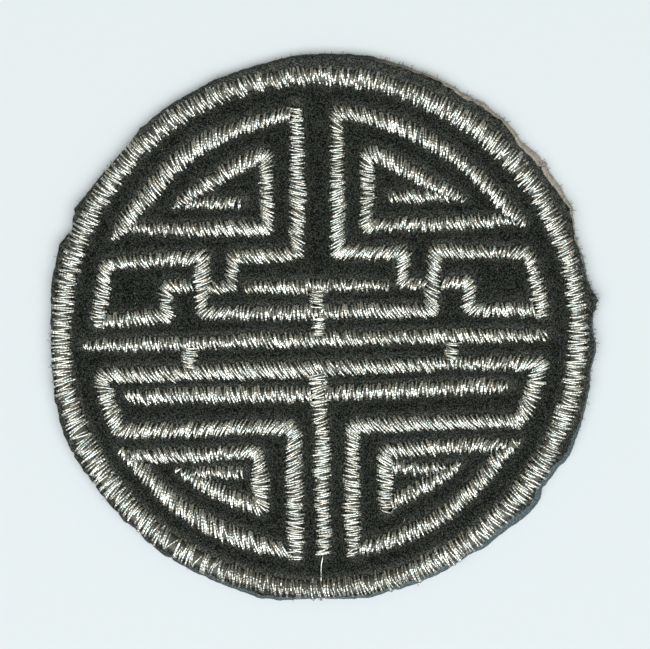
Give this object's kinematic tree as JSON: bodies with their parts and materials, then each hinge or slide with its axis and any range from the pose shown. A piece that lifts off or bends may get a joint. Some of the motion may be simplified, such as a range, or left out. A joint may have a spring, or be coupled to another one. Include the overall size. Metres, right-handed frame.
{
  "type": "embroidered patch",
  "caption": "Round felt patch with a fret roundel inside a ring, worked in padded satin columns of silver metallic thread.",
  "frame": {"origin": "middle of the felt on its back face", "axes": "+Z out of the worked face, +Y to the top of the motif, +X to the right of the motif"},
  "size_m": [0.0636, 0.0631, 0.0019],
  "materials": {
    "felt": "matt black felt, short fibres",
    "thread": "silver metallic thread in satin stitch, bright and slightly warm"
  },
  "bodies": {
    "root": {"felt_ground": "felt", "border_ring": "thread", "upper_left_beak": "thread", "upper_left_coil": "thread", "upper_left_arc": "thread", "upper_right_beak": "thread", "upper_right_coil": "thread", "upper_right_arc": "thread", "middle_fret": "thread", "short_bar": "thread", "stem_upper": "thread", "stem_lower": "thread", "long_bar": "thread", "stub_left": "thread", "stub_right": "thread", "lower_outer_fret": "thread", "lower_left_coil": "thread", "lower_left_beak": "thread", "lower_right_coil": "thread", "lower_right_beak": "thread", "inner_bar_left": "thread", "inner_bar_right": "thread", "centre_stem": "thread"}
  },
  "joints": []
}
